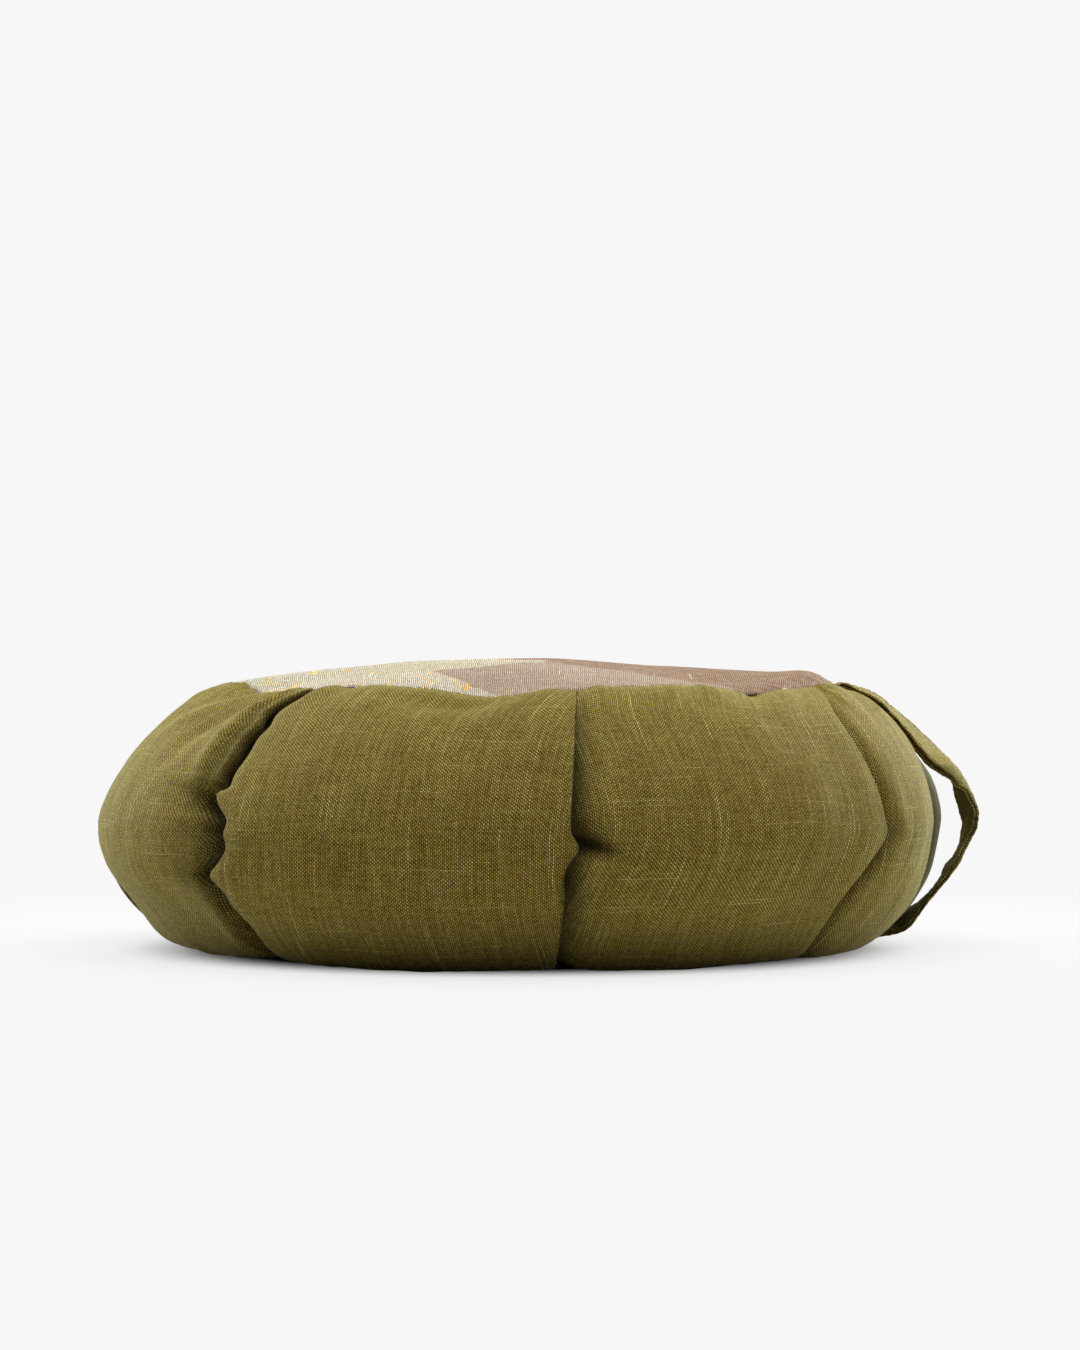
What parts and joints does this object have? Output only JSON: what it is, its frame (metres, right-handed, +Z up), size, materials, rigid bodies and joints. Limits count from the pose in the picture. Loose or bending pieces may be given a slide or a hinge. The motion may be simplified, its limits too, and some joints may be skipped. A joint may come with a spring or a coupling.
{
  "type": "zafu meditation cushion",
  "caption": "Round meditation cushion with a knife-pleated side band, a crowned printed top panel, a flat base and a side carry strap.",
  "frame": {"origin": "centre of the flat underside, on the surface that the cushion rests on", "axes": "+Z up, -Y the front that the picture shows, +X the side with the carry strap"},
  "size_m": [0.3953, 0.3832, 0.1288],
  "materials": {
    "band_linen": "matt plain weave with slubs",
    "print_linen": "matt printed plain weave",
    "base_linen": "matt plain weave",
    "strap_linen": "matt plain weave, doubled and stitched"
  },
  "bodies": {
    "root": {"side_band": "band_linen", "top_panel": "print_linen", "base_panel": "base_linen", "carry_strap": "strap_linen"}
  },
  "joints": []
}
